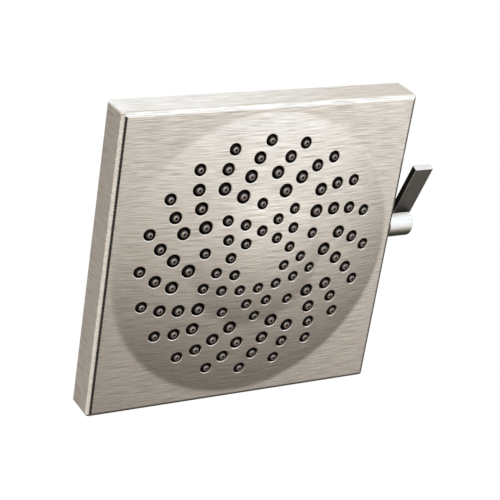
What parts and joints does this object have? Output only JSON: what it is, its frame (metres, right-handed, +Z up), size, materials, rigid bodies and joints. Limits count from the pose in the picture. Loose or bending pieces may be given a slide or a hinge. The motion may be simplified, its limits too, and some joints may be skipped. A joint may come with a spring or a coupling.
{
  "type": "rain shower head",
  "caption": "Square rain shower head with a crowned face, a spiral field of soft nozzles in two zones, a side diverter lever and a swivel ball inlet.",
  "frame": {"origin": "centre of the inlet nut's mouth, on the swivel's axis", "axes": "+Y out of the inlet towards the shower arm, so the spray leaves along -Y; +X towards the lever; +Z up the face"},
  "size_m": [0.2348, 0.0805, 0.216],
  "materials": {
    "brushed_nickel": "warm nickel plating brushed in fine straight lines",
    "bright_nickel": "polished nickel plating",
    "soft_nozzle": "satin grey-brown silicone",
    "dark_plastic": "black moulded plastic",
    "pale_plastic": "natural acetal",
    "black_rubber": "black nitrile rubber",
    "plain_brass": "turned brass",
    "plain_steel": "plain stainless steel"
  },
  "bodies": {
    "inlet": {"inlet_nut": "brushed_nickel"},
    "ball": {"swivel_ball": "bright_nickel", "stem_clip": "plain_steel", "inlet_washer": "black_rubber", "filter_screen": "plain_steel", "flow_regulator": "pale_plastic", "regulator_ring": "black_rubber"},
    "seat": {"ball_seat": "pale_plastic", "ball_seal": "black_rubber"},
    "head": {"face_shell": "brushed_nickel", "nozzle_mat": "soft_nozzle", "water_body": "dark_plastic", "back_cover": "brushed_nickel", "body_screws": "plain_steel", "retaining_nut": "brushed_nickel", "gland_nut": "plain_brass"},
    "lever": {"lever_handle": "brushed_nickel", "lever_set_screw": "plain_steel", "spindle": "plain_brass", "thrust_washer": "pale_plastic", "diverter_spool": "pale_plastic", "spool_seals": "black_rubber"}
  },
  "joints": [
    {"name": "inlet_turn", "type": "hinge", "parent": "inlet", "child": "ball", "pos_m": [0, -0.03635, 0], "axis": [0, 1, 0], "continuous": true},
    {"name": "head_tilt", "type": "hinge", "parent": "ball", "child": "seat", "pos_m": [0, -0.03635, 0], "axis": [1, 0, 0], "range_deg": [-18, 18]},
    {"name": "head_turn", "type": "hinge", "parent": "seat", "child": "head", "pos_m": [0, -0.03635, 0], "axis": [0, 1, 0], "continuous": true},
    {"name": "diverter_lever", "type": "hinge", "parent": "head", "child": "lever", "pos_m": [0.1175, -0.05865, 0.008], "axis": [1, 0, 0], "range_deg": [-42.4, 0]}
  ]
}
